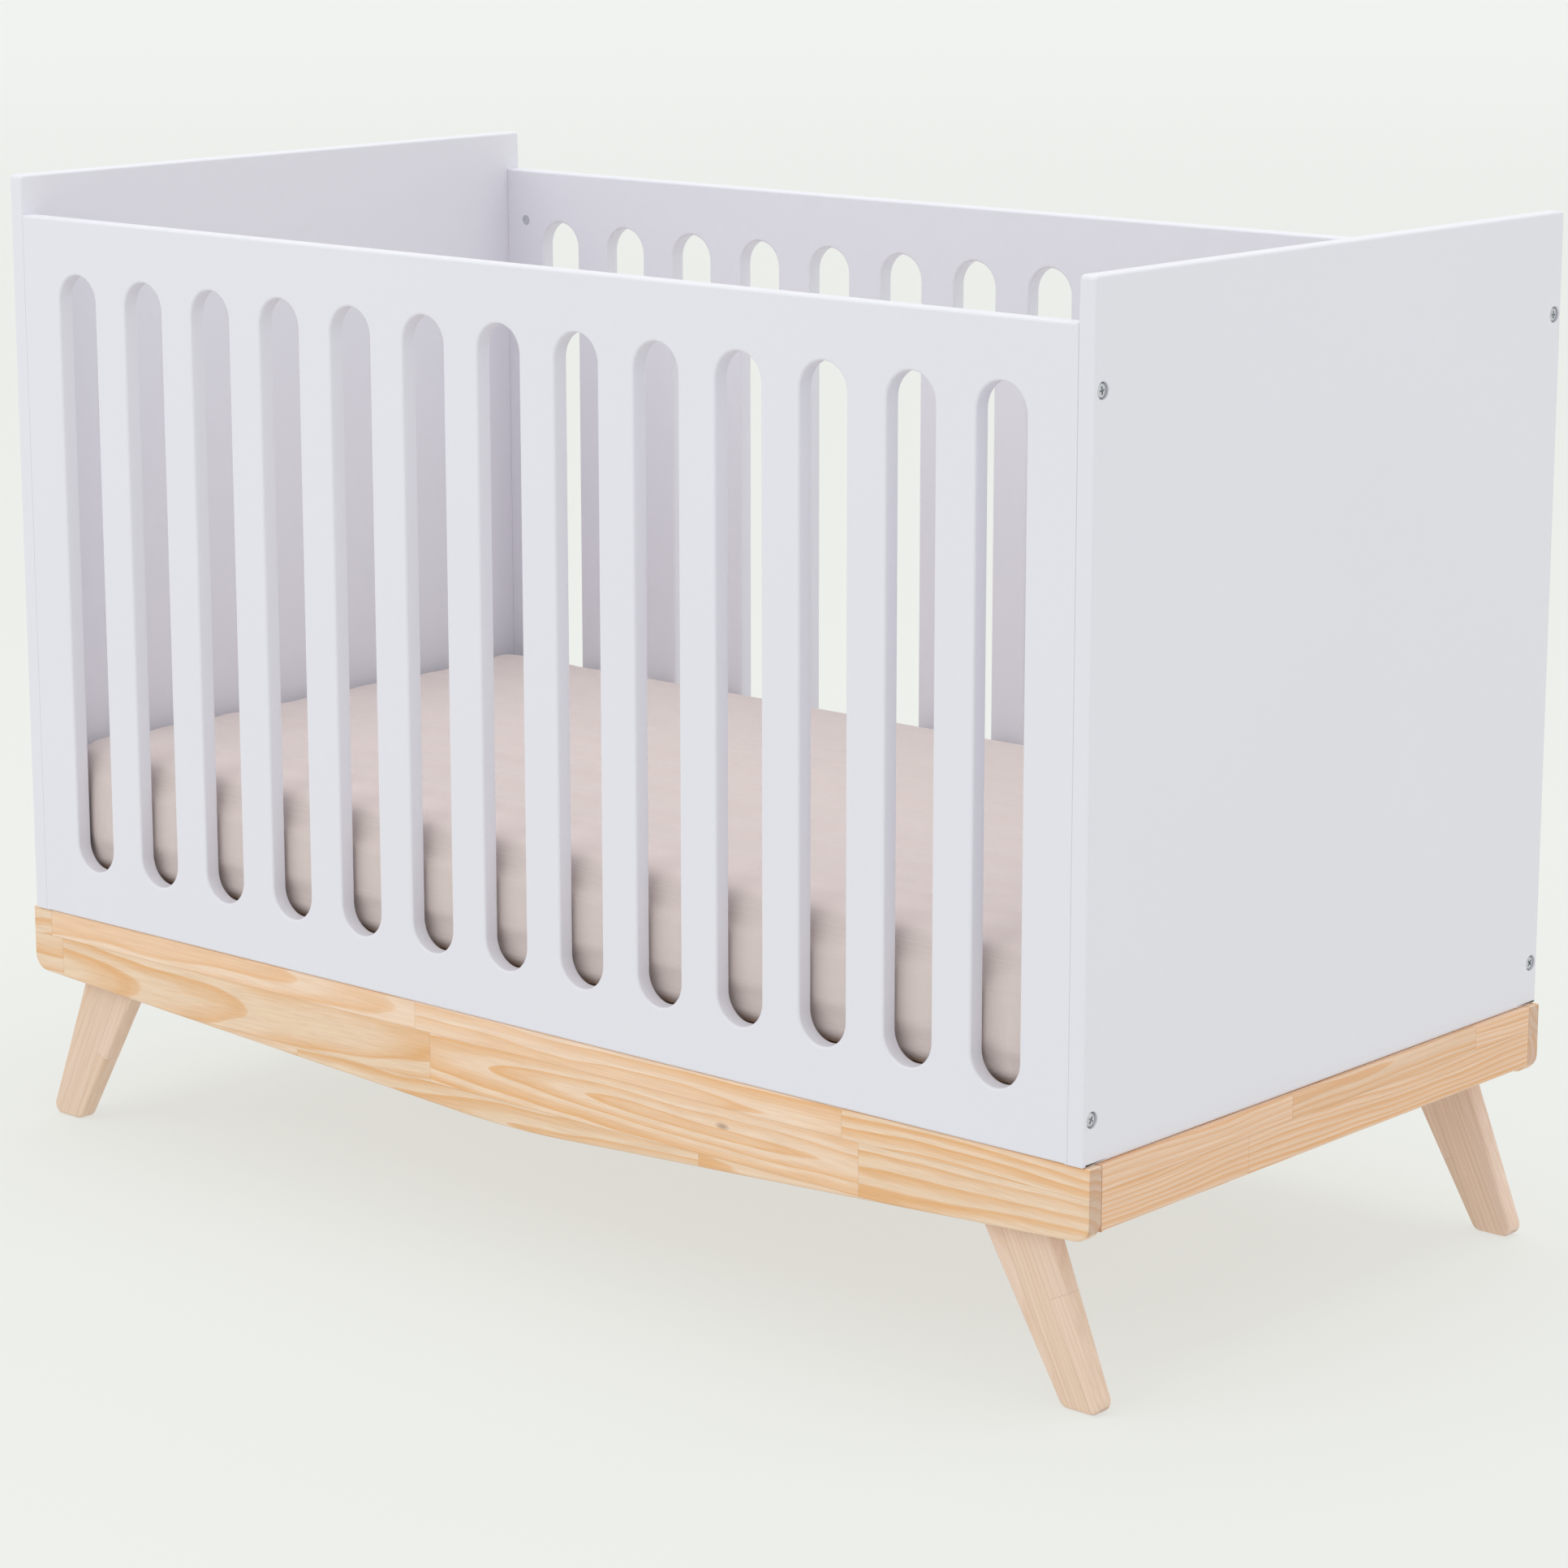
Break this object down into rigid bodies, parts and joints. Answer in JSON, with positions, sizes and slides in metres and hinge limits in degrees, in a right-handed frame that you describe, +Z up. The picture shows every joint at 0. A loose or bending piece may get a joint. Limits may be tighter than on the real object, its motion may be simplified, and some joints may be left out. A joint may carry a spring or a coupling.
{
  "type": "baby crib",
  "caption": "Baby crib with white slotted side panels, plain taller ends, a pine underframe on splayed plank legs, a slatted base and a mattress in a fitted sheet.",
  "frame": {"origin": "centre of the footprint, on the floor", "axes": "+X along the crib's length, to the right as seen from the front; -Y is the front side panel; +Z up"},
  "size_m": [1.252, 0.642, 0.892],
  "materials": {
    "white_paint": "smooth satin white paint on fibreboard",
    "pine": "clear matt lacquered finger-jointed pine",
    "pale_pine": "clear matt lacquered pale pine",
    "base_pine": "planed unfinished pine",
    "dowel_wood": "fluted hardwood",
    "zinc_steel": "bright zinc plated",
    "brass": "plain turned",
    "mattress_cover": "quilted white cotton cover on foam",
    "sheet_cotton": "dusty pink woven cotton"
  },
  "bodies": {
    "frame": {"left_end_panel": "white_paint", "right_end_panel": "white_paint", "front_side_panel": "white_paint", "back_side_panel": "white_paint", "front_apron": "pine", "back_apron": "pine", "left_apron": "pine", "right_apron": "pine", "leg_front_left": "pale_pine", "leg_front_right": "pale_pine", "leg_back_left": "pale_pine", "leg_back_right": "pale_pine", "block_front_left": "pine", "block_front_right": "pine", "block_back_left": "pine", "block_back_right": "pine", "left_end_bolts": "zinc_steel", "right_end_bolts": "zinc_steel", "front_barrel_nuts": "zinc_steel", "back_barrel_nuts": "zinc_steel", "panel_dowels": "dowel_wood", "apron_dowels": "dowel_wood", "leg_bolts": "zinc_steel", "leg_washers": "zinc_steel", "leg_inserts": "brass", "block_screws": "zinc_steel", "frame_angles": "zinc_steel", "frame_angle_screws": "zinc_steel", "base_brackets": "zinc_steel", "base_bracket_screws": "zinc_steel", "base_height_inserts": "brass"},
    "slatted_base": {"base_front_rail": "base_pine", "base_back_rail": "base_pine", "base_left_rail": "base_pine", "base_right_rail": "base_pine", "slat_1": "base_pine", "slat_2": "base_pine", "slat_3": "base_pine", "slat_4": "base_pine", "slat_5": "base_pine", "slat_6": "base_pine", "slat_7": "base_pine", "slat_8": "base_pine", "slat_9": "base_pine", "slat_10": "base_pine", "slat_11": "base_pine", "slat_12": "base_pine", "slat_13": "base_pine", "base_corner_screws": "zinc_steel", "slat_screws": "zinc_steel"},
    "bedding": {"mattress": "mattress_cover", "fitted_sheet": "sheet_cotton"}
  },
  "joints": [
    {"name": "base_height", "type": "slide", "parent": "frame", "child": "slatted_base", "axis": [0, 0, 1], "range_m": [0, 0.3]},
    {"name": "mattress_lift", "type": "slide", "parent": "slatted_base", "child": "bedding", "axis": [0, 0, 1], "range_m": [0, 0.64]}
  ]
}
